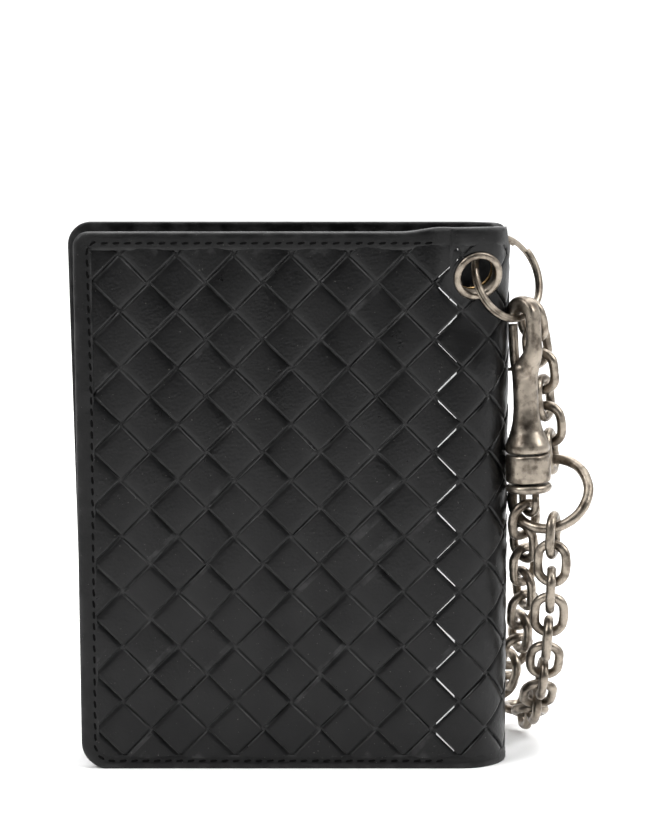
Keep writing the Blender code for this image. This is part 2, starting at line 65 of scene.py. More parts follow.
# Floor and light -------------------------------------------------------------------
# A white sweep that runs up behind the wallet, lit by four soft boxes in a room that is bright
# behind the wallet and dim in front of it, so that the leather stays dark.
FLOOR_NEAR, FLOOR_FAR, FLOOR_HALF = -0.78, 1.2, 1.5
SWEEP_RADIUS, SWEEP_TOP, SWEEP_STEPS = 0.5, 3.0, 12
floor_profile = [(FLOOR_NEAR, 0.0)]
for step in range(SWEEP_STEPS + 1):
    angle = math.pi / 2 * step / SWEEP_STEPS
    rise = SWEEP_RADIUS * (1 - math.cos(angle))
    floor_profile.append((FLOOR_FAR + SWEEP_RADIUS * math.sin(angle), rise))
floor_profile.append((FLOOR_FAR + SWEEP_RADIUS, SWEEP_TOP))
floor_mesh = bpy.data.meshes.new("floor")
floor_verts = [(x, y, z) for y, z in floor_profile for x in (-FLOOR_HALF, FLOOR_HALF)]
floor_faces = [(2 * i, 2 * i + 1, 2 * i + 3, 2 * i + 2) for i in range(len(floor_profile) - 1)]
floor_mesh.from_pydata(floor_verts, [], floor_faces)
floor_mesh.shade_smooth()
white_paper = bpy.data.materials.new("white_paper")
white_paper.use_nodes = True
paper_shader = white_paper.node_tree.nodes["Principled BSDF"]
paper_shader.inputs["Base Color"].default_value = (0.93, 0.93, 0.93, 1)
paper_shader.inputs["Roughness"].default_value = 0.9
paper_shader.inputs["Specular IOR Level"].default_value = 0.1
floor_mesh.materials.append(white_paper)
floor = placed("floor", floor_mesh)

room = bpy.data.worlds.new("room")
room.use_nodes = True
room_tree = room.node_tree
room_place = room_tree.nodes.new("ShaderNodeTexCoord")
room_parts = room_tree.nodes.new("ShaderNodeSeparateXYZ")
room_range = room_tree.nodes.new("ShaderNodeMapRange")
room_range.inputs["From Min"].default_value = -1
room_light = room_tree.nodes.new("ShaderNodeValToRGB")
for element, (position, grey) in zip(room_light.color_ramp.elements, ((0.15, 0.045), (0.75, 1))):
    element.position = position
    element.color = (grey, grey, grey, 1)
room_tree.links.new(room_place.outputs["Generated"], room_parts.inputs["Vector"])
room_tree.links.new(room_parts.outputs["Y"], room_range.inputs["Value"])
room_tree.links.new(room_range.outputs["Result"], room_light.inputs["Fac"])
room_tree.links.new(room_light.outputs["Color"], room_tree.nodes["Background"].inputs["Color"])
room_tree.nodes["Background"].inputs["Strength"].default_value = 1.1
bpy.context.scene.world = room
bpy.context.scene.view_settings.view_transform = "Standard"
for name, place, size, power in (
    ("left_box", (-0.85, -0.55, 0.95), 0.5, 9.0),
    ("right_box", (0.9, -0.3, 0.8), 0.5, 8.0),
    ("top_box", (0.0, 0.15, 1.3), 1.2, 16.0),
    ("back_box", (0.3, 1.3, 1.2), 1.6, 22.0),
):
    lamp_data = bpy.data.lights.new(name, "AREA")
    lamp_data.size = size
    lamp_data.energy = power
    lamp = placed(name, lamp_data)
    lamp.location = place
    lamp.rotation_euler = (Vector((0, 0, 0.06)) - Vector(place)).to_track_quat("-Z", "Y").to_euler()


# Leather ---------------------------------------------------------------------------
# Calfskin dyed through in charcoal and waxed: a fine grain, soft wear on the high places,
# and a few scratches and specks of dust.
def paints(name, noise_roughness):
    """A new material: itself, its tree, its shader, object coordinates and the helpers that colour it."""
    made = bpy.data.materials.new(name)
    made.use_nodes = True
    tree = made.node_tree
    place = tree.nodes.new("ShaderNodeTexCoord").outputs["Object"]

    def noise(scale, detail):
        node = tree.nodes.new("ShaderNodeTexNoise")
        node.inputs["Scale"].default_value = scale
        node.inputs["Detail"].default_value = detail
        node.inputs["Roughness"].default_value = noise_roughness
        tree.links.new(place, node.inputs["Vector"])
        return node.outputs["Fac"]

    def ramp(value, *stops):
        """Two stops, each a position and a colour or a grey."""
        node = tree.nodes.new("ShaderNodeValToRGB")
        for element, (position, colour) in zip(node.color_ramp.elements, stops):
            element.position = position
            element.color = (*(colour if isinstance(colour, tuple) else (colour,) * 3), 1)
        tree.links.new(value, node.inputs["Fac"])
        return node.outputs["Color"]

    def mix(kind, amount, first, second):
        node = tree.nodes.new("ShaderNodeMix")
        node.data_type = "RGBA"
        node.blend_type = kind
        for label, value in (("Factor", amount), ("A", first), ("B", second)):
            if isinstance(value, (int, float, tuple)):
                node.inputs[label].default_value = value
            else:
                tree.links.new(value, node.inputs[label])
        return node.outputs["Result"]

    def relief(height, strength):
        node = tree.nodes.new("ShaderNodeBump")
        node.inputs["Strength"].default_value = strength
        node.inputs["Distance"].default_value = 0.0001
        tree.links.new(height, node.inputs["Height"])
        return node.outputs["Normal"]

    return made, tree, tree.nodes["Principled BSDF"], place, noise, ramp, mix, relief


def leather(name, dark, worn, roughness, grain, wear):
    made, tree, shader, place, noise, ramp, mix, relief = paints(name, 0.55)
    cloud = ramp(noise(95, 4), (0.30, dark), (0.75, worn))
    edges = tree.nodes.new("ShaderNodeNewGeometry")
    rubbed = ramp(edges.outputs["Pointiness"], (0.505, 0), (0.56, 1))
    patchy = mix("MULTIPLY", 1.0, rubbed, ramp(noise(260, 3), (0.42, 0), (0.62, 1)))
    worn_colour = tuple(min(1, c * 3.2 + 0.02) for c in worn)
    colour = mix("MIX", mix("MULTIPLY", 1.0, patchy, (wear, wear, wear, 1)), cloud, (*worn_colour, 1))
    specks = mix("MULTIPLY", 1.0, ramp(noise(2600, 1), (0.77, 0), (0.80, 1)), (0.35, 0.35, 0.35, 1))
    colour = mix("MIX", specks, colour, (0.30, 0.29, 0.27, 1))
    tree.links.new(colour, shader.inputs["Base Color"])
    polish = ramp(noise(150, 5), (0.3, roughness - 0.07), (0.7, roughness + 0.09))
    seams = ramp(edges.outputs["Pointiness"], (0.44, 1), (0.49, 0))
    tree.links.new(mix("LIGHTEN", 1.0, polish, seams), shader.inputs["Roughness"])
    shader.inputs["Specular IOR Level"].default_value = 0.24
    cells = tree.nodes.new("ShaderNodeTexVoronoi")
    cells.inputs["Scale"].default_value = 1500
    tree.links.new(place, cells.inputs["Vector"])
    stretch = tree.nodes.new("ShaderNodeMapping")
    stretch.inputs["Scale"].default_value = (9, 1, 1)
    stretch.inputs["Rotation"].default_value = (0, 0.5, 0)
    tree.links.new(place, stretch.inputs["Vector"])
    scratch = tree.nodes.new("ShaderNodeTexNoise")
    scratch.inputs["Scale"].default_value = 120
    scratch.inputs["Detail"].default_value = 3
    tree.links.new(stretch.outputs["Vector"], scratch.inputs["Vector"])
    height = mix("MIX", 0.35, cells.outputs["Distance"], scratch.outputs["Fac"])
    tree.links.new(relief(height, grain), shader.inputs["Normal"])
    return made


# dark colour, worn colour, roughness, grain, wear on the edges
charcoal_leather = leather(
    "charcoal_leather", (0.0025, 0.0025, 0.0027), (0.0065, 0.0065, 0.0066), 0.34, 0.45, 0.5
)
binding_leather = leather(
    "binding_leather", (0.003, 0.003, 0.0032), (0.008, 0.008, 0.008), 0.42, 0.5, 0.5
)
lining_hide = leather("lining_hide", (0.022, 0.020, 0.018), (0.038, 0.035, 0.032), 0.60, 0.5, 0.12)
for node_name, node_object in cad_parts.items():
    if node_name.endswith(("_lining", "_bill_wall")) or "card_slot" in node_name:
        node_object.material_slots[0].material = lining_hide
    if node_name in ("front_cover", "back_cover", "spine_cover"):
        node_object.material_slots[0].material = charcoal_leather

# Woven skin ------------------------------------------------------------------------
# Leather strips about 9 mm wide, plaited one over one on the slant and glued to the covers and
# the spine. Each place where a strip shows is one crowned pad whose ends dive under its neighbours.
OPEN_X, SPINE_X, BEND_X = -0.0470, 0.0338, 0.0370
FRONT_Y, BACK_Y = -0.0190, 0.0010
BEND_RADIUS = (BACK_Y - FRONT_Y) / 2
MIDDLE_Y = (FRONT_Y + BACK_Y) / 2
HEIGHT = 0.120
STRIP = 0.00877
BEND_LENGTH = math.pi * BEND_RADIUS
FLAT_LENGTH = BEND_X - OPEN_X
MID_BEND = FLAT_LENGTH + BEND_LENGTH / 2
WHOLE = 2 * FLAT_LENGTH + BEND_LENGTH
BORDER, FOOT = 0.0032, 0.0022  # from the open edge and the floor to the plait
WEAVE_X, WEAVE_Z = -0.0378 - OPEN_X, 0.1082  # the middle of one pad, from the open edge and the floor
# at its top the spine leans back to a slope behind the hook, and its front is pushed out again
PINCH_SLOPE, PINCH_FOOT, PINCH_HEIGHT = 0.30, 0.088, 0.012
PUSH_DEPTH, PUSH_FOOT, PUSH_HEIGHT = 0.0032, 0.104, 0.014
PUSH_BEFORE, PUSH_RUN = 0.004, 0.006
# the hole for the eyelet, and the lowered edge over which the ring runs
EYELET, EYELET_CLEAR = Vector((0.0396, -0.01748, 0.1101)), 0.0050
NOTCH_X, NOTCH_HALF, NOTCH_NEAR, NOTCH_FAR, NOTCH_FLOOR = 0.047, 0.0042, -0.0129, -0.0041, 0.1160
BACKING_START, BACKING_END, BACKING_STEP, BACKING_PROUD = 0.0785, 0.0825, 0.0005, 0.00004
BACKING_ROWS, BACKING_POINTS = 9, 60


def smooth(value):
    value = np.clip(value, 0, 1)
    return value * value * (3 - 2 * value)


def wrapped(along, z, proud):
    """From a flat sheet to the folded wallet: along runs from the front's open edge round to the back's."""
    turn = np.clip((along - FLAT_LENGTH) / BEND_RADIUS, 0, math.pi)
    past = np.maximum(along - FLAT_LENGTH - BEND_LENGTH, 0)
    before = np.minimum(along, FLAT_LENGTH)
    normal_x, normal_y = np.sin(turn), -np.cos(turn)
    x = OPEN_X + before - past + BEND_RADIUS * normal_x
    y = MIDDLE_Y + BEND_RADIUS * normal_y
    flat = FRONT_Y + (x - SPINE_X) * PINCH_SLOPE
    leaning = (y <= MIDDLE_Y) & (flat > y) & (x > SPINE_X)
    pinched = np.where(leaning, (flat - y) * smooth((z - PINCH_FOOT) / PINCH_HEIGHT), 0)
    pushed = -PUSH_DEPTH * smooth((z - PUSH_FOOT) / PUSH_HEIGHT)
    pushed = pushed * smooth((MIDDLE_Y - y) / (BEND_RADIUS * 0.8))
    pushed = pushed * smooth((x - SPINE_X + PUSH_BEFORE) / PUSH_RUN)
    pushed = np.where(x > SPINE_X - PUSH_BEFORE, pushed, 0)
    return np.stack([x + proud * normal_x, y + pinched + pushed + proud * normal_y, z], axis=-1)


def node_group(name, inputs):
    """A geometry group with these inputs, which ends in real meshes with their material.

    Gives the group, the sockets of its inputs and the socket that takes the finished geometry.
    """
    tree = bpy.data.node_groups.new(name, "GeometryNodeTree")
    inputs = (("Geometry", "Geometry", None), *inputs, ("Material", "Material", None))
    for label, kind, value in inputs:
        socket = tree.interface.new_socket(name=label, in_out="INPUT", socket_type="NodeSocket" + kind)
        if value is not None:
            socket.default_value = value
    tree.interface.new_socket(name="Geometry", in_out="OUTPUT", socket_type="NodeSocketGeometry")
    given = tree.nodes.new("NodeGroupInput")
    real = tree.nodes.new("GeometryNodeRealizeInstances")
    finish = tree.nodes.new("GeometryNodeSetMaterial")
    result = tree.nodes.new("NodeGroupOutput")
    tree.links.new(real.outputs["Geometry"], finish.inputs["Geometry"])
    tree.links.new(given.outputs["Material"], finish.inputs["Material"])
    tree.links.new(finish.outputs["Geometry"], result.inputs["Geometry"])
    return tree, given.outputs, real.inputs["Geometry"]


def plain_mesh(source, name):
    """The evaluated result of the modifiers as a mesh of its own; the modifiers go."""
    made = bpy.data.meshes.new_from_object(source.evaluated_get(bpy.context.evaluated_depsgraph_get()))
    made.name = name
    source.modifiers.clear()
    return made


def grown(source, tree, **inputs):
    """Runs a group on an object once and gives the mesh that comes out."""
    step = source.modifiers.new(tree.name, "NODES")
    step.node_group = tree
    for item in tree.interface.items_tree:
        if item.in_out == "INPUT" and item.name in inputs:
            step[item.identifier] = inputs[item.name]
    return plain_mesh(source, source.name)


pad_steps = 20
pad_length, pad_width = STRIP * 1.050, STRIP * 0.958
pad = bmesh.new()
pad_rows = []
for i in range(pad_steps + 1):
    row = []
    for j in range(pad_steps + 1):
        a, b = (math.copysign(abs(2 * k / pad_steps - 1) ** 0.38, k - pad_steps / 2) for k in (i, j))
        crown = 0.00052 * (1 - abs(a) ** 10) + 0.00016 * (1 - a * a)
        lips = math.exp(-(((abs(a) - 0.80) / 0.06) ** 2)) + math.exp(-(((abs(b) - 0.90) / 0.05) ** 2))
        height = crown + 0.00001 * lips - 0.00036 * abs(b) ** 44 - 0.00020
        row.append(pad.verts.new((a * pad_length / 2, b * pad_width / 2, height)))
    pad_rows.append(row)
for lower, upper in zip(pad_rows, pad_rows[1:]):
    for j in range(pad_steps):
        pad.faces.new((lower[j], upper[j], upper[j + 1], lower[j + 1]))
pad_mesh = bpy.data.meshes.new("strip_pad")
pad.to_mesh(pad_mesh)
pad.free()
pad_object = bpy.data.objects.new("strip_pad", pad_mesh)

weave_inputs = (("Pad", "Object", None), ("Unevenness", "Float", 0.017), ("Seed", "Int", 4))
weave_tree, weave_given, weave_end = node_group("plait", weave_inputs)
weave_points = weave_tree.nodes.new("GeometryNodeMeshToPoints")
weave_pad = weave_tree.nodes.new("GeometryNodeObjectInfo")
weave_place = weave_tree.nodes.new("GeometryNodeInstanceOnPoints")
weave_turn = weave_tree.nodes.new("GeometryNodeInputNamedAttribute")
weave_turn.data_type = "FLOAT"
weave_turn.inputs["Name"].default_value = "turn"
weave_random = weave_tree.nodes.new("FunctionNodeRandomValue")
weave_random.data_type = "FLOAT_VECTOR"
for limit, sign in enumerate((-1, 1)):
    bound = weave_tree.nodes.new("ShaderNodeVectorMath")
    bound.operation = "SCALE"
    bound.inputs[0].default_value = (sign, sign, sign)
    weave_tree.links.new(weave_given["Unevenness"], bound.inputs["Scale"])
    weave_tree.links.new(bound.outputs["Vector"], weave_random.inputs[limit])
weave_vector = weave_tree.nodes.new("ShaderNodeCombineXYZ")
weave_sum = weave_tree.nodes.new("ShaderNodeVectorMath")
for source, target in (
    (weave_given["Geometry"], weave_points.inputs["Mesh"]),
    (weave_points.outputs["Points"], weave_place.inputs["Points"]),
    (weave_given["Pad"], weave_pad.inputs["Object"]),
    (weave_pad.outputs["Geometry"], weave_place.inputs["Instance"]),
    (weave_given["Seed"], weave_random.inputs["Seed"]),
    (weave_turn.outputs["Attribute"], weave_vector.inputs["Z"]),
    (weave_vector.outputs[0], weave_sum.inputs[0]),
    (weave_random.outputs[0], weave_sum.inputs[1]),
    (weave_sum.outputs[0], weave_place.inputs["Rotation"]),
    (weave_place.outputs["Instances"], weave_end),
):
    weave_tree.links.new(source, target)


def cut_away(middle):
    """Whether a spot of the folded skin lies in the eyelet's hole or in the notch."""
    in_notch = abs(middle.x - NOTCH_X) < NOTCH_HALF and NOTCH_NEAR < middle.y < NOTCH_FAR
    return (middle - EYELET).length < EYELET_CLEAR or (in_notch and middle.z > NOTCH_FLOOR)


def woven_skin(name, first, last, bottom, top):
    """A plaited sheet between two distances along the wallet, trimmed to its border and folded round."""
    middles, turns = [], []
    reach = int(0.35 / STRIP)
    for i in range(-reach, reach):
        for j in range(-reach, reach):
            along = WEAVE_X + (i + j) * STRIP / math.sqrt(2)
            z = WEAVE_Z + (i - j) * STRIP / math.sqrt(2)
            if first - STRIP < along < last + STRIP and bottom - STRIP < z < top + STRIP:
                middles.append((along, z, 0))
                turns.append(math.pi / 4 if (i + j) % 2 else -math.pi / 4)
    points = bpy.data.meshes.new(name + "_points")
    points.from_pydata(middles, [], [])
    points.attributes.new("turn", "FLOAT", "POINT").data.foreach_set("value", turns)
    sheet = placed(name, points)
    sheet.data = grown(sheet, weave_tree, Pad=pad_object, Material=charcoal_leather)
    edit = bmesh.new()
    edit.from_mesh(sheet.data)
    for point, normal in (
        ((first, 0, 0), (-1, 0, 0)),
        ((last, 0, 0), (1, 0, 0)),
        ((0, bottom, 0), (0, -1, 0)),
        ((0, top, 0), (0, 1, 0)),
    ):
        parts = list(edit.verts) + list(edit.edges) + list(edit.faces)
        bmesh.ops.bisect_plane(edit, geom=parts, plane_co=point, plane_no=normal, clear_outer=True)
    # a thin backing closes the plait over the fold between cover and spine
    backing = []
    start = BACKING_START if first < MID_BEND else WHOLE - BACKING_END
    heights = np.linspace(bottom, top, BACKING_POINTS)
    for step in range(BACKING_ROWS):
        backing.append([edit.verts.new((start + BACKING_STEP * step, z, BACKING_PROUD)) for z in heights])
    for near, far in zip(backing, backing[1:]):
        for i in range(BACKING_POINTS - 1):
            edit.faces.new((near[i], far[i], far[i + 1], near[i + 1]))
    flat = np.array([v.co[:] for v in edit.verts])
    place = wrapped(flat[:, 0], flat[:, 1], flat[:, 2])
    for vertex, point in zip(edit.verts, place):
        vertex.co = point
    gone = [face for face in edit.faces if cut_away(face.calc_center_median())]
    bmesh.ops.delete(edit, geom=gone, context="FACES")
    edit.to_mesh(sheet.data)
    edit.free()
    sheet.data.shade_smooth()
    return sheet


front_skin = woven_skin("front_woven_skin", BORDER, MID_BEND, FOOT, HEIGHT - 0.0030)
back_skin = woven_skin("back_woven_skin", MID_BEND, WHOLE - BORDER, FOOT, HEIGHT - 0.0026)
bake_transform(front_skin)
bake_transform(back_skin)


# Bindings --------------------------------------------------------------------------
# A plain band round the three free sides of each cover, turned over its edge and stitched down
# over the ends of the strips.
BAND_WIDTHS = (0.0038, 0.0038, 0.0030)  # along the top, down the open edge, along the bottom
ARC_STEPS, BAND_STEP, BAND_UNEVENNESS = 12, 0.0015, 0.000012
# the second turn of leather over the corner: its end along the top, its end down the edge, its rise
TURN_LENGTH, TURN_LEAN = 0.0125, 0.15
TURN_FOOT, TURN_SLANT = 0.0812, 0.35
TURN_STEP, TURN_PROUD = 0.0007, 0.00026
NOTCH_ALONG, NOTCH_DEPTH, NOTCH_RUN = MID_BEND + 0.0005, 0.0039, 0.0010
LIFT, LIFT_START, LIFT_RUN = 0.0011, 0.070, 0.010  # the front's top edge rises towards the spine
# inset, height above the cover, and 1 for the points on the inner side of the band
BAND_SECTION = (
    (0.0004, -0.00215, 0),
    (-0.00012, -0.00190, 0),
    (-0.00022, -0.00100, 0),
    (-0.00018, -0.00005, 0),
    (0.00005, 0.00038, 0),
    (0.00045, 0.00058, 0),
    (0.0012, 0.00062, 0),
    (-0.0016, 0.00056, 1),
    (-0.0009, 0.00052, 1),
    (-0.0004, 0.00046, 1),
    (-0.00008, 0.00036, 1),
    (0.0, 0.00020, 1),
    (-0.0002, -0.0001, 1),
)


def over_corner(point):
    """Whether this spot of the band lies at the open edge, where a second turn covers the first."""
    return point.x < TURN_LENGTH - (HEIGHT - point.y) * TURN_LEAN


def skin_between(edit, rows):
    """Faces from each row of points to the next, and over the first row and the last."""
    for row, following in zip(rows, rows[1:]):
        for i in range(len(row)):
            j = (i + 1) % len(row)
            edit.faces.new((row[i], row[j], following[j], following[i]))
    edit.faces.new(rows[0][::-1])
    edit.faces.new(rows[-1])


def band(name, corners, at_back):
    """One binding; its corners run from the spine along the top, down the open edge and back.

    Each corner gives its distance along the wallet, its height and its radius.
    """
    path, inward, width = [], [], []
    for index, (x, z, radius) in enumerate(corners):
        here = Vector((x, z))
        if index in (0, len(corners) - 1):
            away = (Vector(corners[1 if index == 0 else index - 1][:2]) - here).normalized()
            side = Vector((-away.y, away.x)) if index == 0 else Vector((away.y, -away.x))
            path.append(here)
            inward.append(side)
            width.append(BAND_WIDTHS[0] if index == 0 else BAND_WIDTHS[-1])
            continue
        before = (Vector(corners[index - 1][:2]) - here).normalized()
        after = (Vector(corners[index + 1][:2]) - here).normalized()
        opening = before.angle(after) / 2
        centre = here + (before + after).normalized() * radius / math.sin(opening)
        first = here + before * radius / math.tan(opening) - centre
        second = here + after * radius / math.tan(opening) - centre
        wide, next_wide = BAND_WIDTHS[index - 1], BAND_WIDTHS[index]
        for step in range(ARC_STEPS + 1):
            arm = first.lerp(second, step / ARC_STEPS).normalized()
            path.append(centre + arm * radius)
            inward.append(-arm)
            width.append(wide + (next_wide - wide) * step / ARC_STEPS)
    dense = []
    stations = list(zip(path, inward, width))
    for (p, n, w), (q, m, v) in zip(stations, stations[1:]):
        count = max(1, int((q - p).length / BAND_STEP))
        for step in range(count):
            t = step / count
            dense.append((p.lerp(q, t), n.lerp(m, t).normalized(), w + (v - w) * t))
    dense.append((path[-1], inward[-1], width[-1]))
    edit = bmesh.new()
    rows = []
    generator = np.random.default_rng(7)
    for place, side, breadth in dense:
        row = []
        for inset, proud, far in BAND_SECTION:
            depth = inset + (breadth if far else 0)
            point = place + side * depth
            wobble = float(generator.normal(0, BAND_UNEVENNESS))
            at_top = point.y > HEIGHT / 2
            # the edge dips where the ring runs over the spine
            past_notch = max(0.0, abs(point.x - NOTCH_ALONG) - NOTCH_HALF)
            dip = NOTCH_DEPTH * float(smooth(1 - past_notch / NOTCH_RUN)) * at_top
            along = WHOLE - point.x if at_back else point.x
            # a second turn of leather covers the corner and ends in a slanting step
            if not at_back and proud > -0.0002 and over_corner(point):
                above = point.y - TURN_FOOT - depth * TURN_SLANT
                proud += TURN_PROUD * float(smooth(above / TURN_STEP))
            lift = 0 if at_back else LIFT * float(smooth((point.x - LIFT_START) / LIFT_RUN)) * at_top
            spot = np.array([[along], [point.y - dip + lift], [proud + wobble]])
            row.append(edit.verts.new(wrapped(*spot)[0]))
        rows.append(row)
    skin_between(edit, rows)
    bmesh.ops.recalc_face_normals(edit, faces=edit.faces)
    mesh = bpy.data.meshes.new(name)
    edit.to_mesh(mesh)
    edit.free()
    mesh.shade_smooth()
    mesh.materials.append(binding_leather)
    made = placed(name, mesh)
    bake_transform(made)


front_corners = (
    (MID_BEND, HEIGHT - 0.0010, 0),
    (-0.0006, HEIGHT - 0.0010, 0.003),
    (0.0, 0, 0.006),
    (MID_BEND, 0, 0),
)
back_corners = ((MID_BEND, HEIGHT, 0), (-0.0035, HEIGHT, 0.005), (-0.0010, 0, 0.006), (MID_BEND, 0, 0))
band("front_binding", front_corners, at_back=False)
band("back_binding", back_corners, at_back=True)


# Stitches --------------------------------------------------------------------------
# Waxed black thread in a saddle stitch, about ten to the inch, each stitch leaning a little.
SEAM_TOP, SEAM_SIDE, SEAM_BOTTOM = 0.0022, 0.0029, 0.0018  # how far the seam is set in
THREAD_PROUD = 0.00058
STITCH_HALF, THREAD_RADIUS, STITCH_SAG, STITCH_SIDES = 0.00092, 0.00027, 0.00022, 8
black_thread, thread_tree, thread_shader, _, thread_noise, thread_ramp, *_ = paints("black_thread", 0.5)
thread_shader.inputs["Roughness"].default_value = 0.9
thread_shader.inputs["Specular IOR Level"].default_value = 0.05
thread_colour = thread_ramp(thread_noise(3000, 2), (0, 0.001), (1, 0.006))
thread_tree.links.new(thread_colour, thread_shader.inputs["Base Color"])

stitch = bmesh.new()
stitch_rows = []
for step in range(7):
    t = step / 6 * 2 - 1
    thick = THREAD_RADIUS * math.sqrt(max(0.05, 1 - abs(t) ** 3))
    sag = -STITCH_SAG * t * t
    around = [(math.cos(a), math.sin(a)) for a in np.linspace(0, 2 * math.pi, STITCH_SIDES, endpoint=False)]
    stitch_rows.append([stitch.verts.new((t * STITCH_HALF, thick * c, sag + thick * s)) for c, s in around])
skin_between(stitch, stitch_rows)
bmesh.ops.recalc_face_normals(stitch, faces=stitch.faces)
stitch_mesh = bpy.data.meshes.new("stitch")
stitch.to_mesh(stitch_mesh)
stitch.free()
stitch_mesh.shade_smooth()
stitch_object = bpy.data.objects.new("stitch", stitch_mesh)

row_inputs = (
    ("Stitch", "Object", None),
    ("Pitch", "Float", 0.0025),
    ("Lean", "Float", 0.14),
    ("Seed", "Int", 11),
)
row_tree, row_given, row_end = node_group("stitch_row", row_inputs)
row_curve = row_tree.nodes.new("GeometryNodeMeshToCurve")
row_step = row_tree.nodes.new("GeometryNodeResampleCurve")
row_step.mode = "LENGTH"
row_ahead = row_tree.nodes.new("GeometryNodeInputTangent")
row_turn = row_tree.nodes.new("FunctionNodeAxesToRotation")
row_turn.primary_axis = "X"
row_turn.secondary_axis = "Z"
row_face = row_tree.nodes.new("GeometryNodeInputNamedAttribute")
row_face.data_type = "FLOAT_VECTOR"
row_face.inputs["Name"].default_value = "outwards"
row_place = row_tree.nodes.new("GeometryNodeInstanceOnPoints")
row_object = row_tree.nodes.new("GeometryNodeObjectInfo")
row_lean = row_tree.nodes.new("GeometryNodeRotateInstances")
row_random = row_tree.nodes.new("FunctionNodeRandomValue")
for limit, share in ((2, 0.5), (3, 1.5)):
    bound = row_tree.nodes.new("ShaderNodeMath")
    bound.operation = "MULTIPLY"
    bound.inputs[1].default_value = share
    row_tree.links.new(row_given["Lean"], bound.inputs[0])
    row_tree.links.new(bound.outputs[0], row_random.inputs[limit])
row_vector = row_tree.nodes.new("ShaderNodeCombineXYZ")
for source, target in (
    (row_given["Geometry"], row_curve.inputs["Mesh"]),
    (row_curve.outputs["Curve"], row_step.inputs["Curve"]),
    (row_given["Pitch"], row_step.inputs["Length"]),
    (row_step.outputs["Curve"], row_place.inputs["Points"]),
    (row_given["Stitch"], row_object.inputs["Object"]),
    (row_object.outputs["Geometry"], row_place.inputs["Instance"]),
    (row_ahead.outputs["Tangent"], row_turn.inputs["Primary Axis"]),
    (row_face.outputs["Attribute"], row_turn.inputs["Secondary Axis"]),
    (row_turn.outputs["Rotation"], row_place.inputs["Rotation"]),
    (row_given["Seed"], row_random.inputs["Seed"]),
    (row_random.outputs[1], row_vector.inputs["Z"]),
    (row_place.outputs["Instances"], row_lean.inputs["Instances"]),
    (row_vector.outputs[0], row_lean.inputs["Rotation"]),
    (row_lean.outputs["Instances"], row_end),
):
    row_tree.links.new(source, target)


def stitching(name, stops, face_y, outwards, body):
    """A row of stitches through these stops, which climbs over the second turn at the corner."""
    line = bpy.data.meshes.new(name + "_line")
    corner = OPEN_X + TURN_LENGTH
    raised = [TURN_PROUD * (body == "front_half" and z > 0.0815 and x < corner) for x, z in stops]
    places = [(x, face_y + outwards * rise, z) for (x, z), rise in zip(stops, raised)]
    line.from_pydata(places, [(i, i + 1) for i in range(len(stops) - 1)], [])
    facing = line.attributes.new("outwards", "FLOAT_VECTOR", "POINT")
    facing.data.foreach_set("vector", [0, outwards, 0] * len(stops))
    made = placed(name, line)
    made.data = grown(made, row_tree, Stitch=stitch_object, Material=black_thread)
    made.data.shade_smooth()
    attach(made, body)


def stitch_path(corners):
    """The seam, set in from the outline: along the top, round the corner, down, and along the bottom."""
    (_, top, _), (left_top, _, _), (left_bottom, _, _), _ = corners
    upper, lower, last = top - SEAM_TOP, SEAM_BOTTOM, SPINE_X - 0.0045
    side, low_side = left_top + OPEN_X + SEAM_SIDE, left_bottom + OPEN_X + SEAM_SIDE
    return [
        (last, upper),
        (OPEN_X + 0.0127, upper),
        (OPEN_X + 0.0121, upper),
        (side + 0.001, upper),
        (side, upper - 0.001),
        (low_side, 0.0826),
        (low_side, 0.0812),
        (low_side, lower + 0.003),
        (low_side + 0.0009, lower + 0.0009),
        (low_side + 0.003, lower),
        (last + 0.0030, lower),
    ]


stitching("front_stitches", stitch_path(front_corners), FRONT_Y - THREAD_PROUD, -1, "front_half")
stitching("back_stitches", stitch_path(back_corners), BACK_Y + THREAD_PROUD, 1, "back_half")


# Aged metal ------------------------------------------------------------------------
# Silver-plated castings and wire, darkened in the hollows, rubbed bright on the high places and
# pitted with small marks.
def aged_metal(name, bright, dark, roughness, darkness):
    made, tree, shader, _, noise, ramp, mix, relief = paints(name, 0.5)
    shader.inputs["Metallic"].default_value = 1.0
    geometry = tree.nodes.new("ShaderNodeNewGeometry")
    hollow = ramp(geometry.outputs["Pointiness"], (0.45, 1), (0.50, 0))
    stain = ramp(noise(420, 5), (0.46, 0), (0.63, 1))
    stain = mix("MULTIPLY", 1.0, stain, (darkness, darkness, darkness, 1))
    tarnish = mix("LIGHTEN", 1.0, hollow, stain)
    base = ramp(noise(900, 4), (0.3, tuple(c * 0.82 for c in bright)), (0.7, bright))
    colour = mix("MIX", tarnish, base, (*dark, 1))
    pits = mix("MULTIPLY", 1.0, ramp(noise(2400, 2), (0.70, 0), (0.76, 1)), (0.7, 0.7, 0.7, 1))
    colour = mix("MIX", pits, colour, (*(c * 0.5 for c in dark), 1))
    tree.links.new(colour, shader.inputs["Base Color"])
    polish = ramp(noise(600, 4), (0.3, roughness - 0.06), (0.7, roughness + 0.12))
    tree.links.new(polish, shader.inputs["Roughness"])
    tree.links.new(relief(noise(1300, 4), 0.35), shader.inputs["Normal"])
    return made


# rubbed colour, tarnished colour, roughness, how dark the stains are
aged_silver = aged_metal("aged_silver_plate", (0.34, 0.295, 0.242), (0.085, 0.067, 0.052), 0.34, 0.8)
dark_silver = aged_metal("dark_silver_plate", (0.22, 0.19, 0.16), (0.05, 0.04, 0.032), 0.42, 0.9)
aged_brass = aged_metal("aged_brass_plate", (0.55, 0.36, 0.15), (0.16, 0.10, 0.05), 0.34, 0.6)
for node_name, plating in (
    ("eyelet_washer", aged_brass),
    ("gate_pin", dark_silver),
    ("swivel_pin", dark_silver),
    ("gate_spring", aged_silver),
):
    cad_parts[node_name].material_slots[0].material = plating


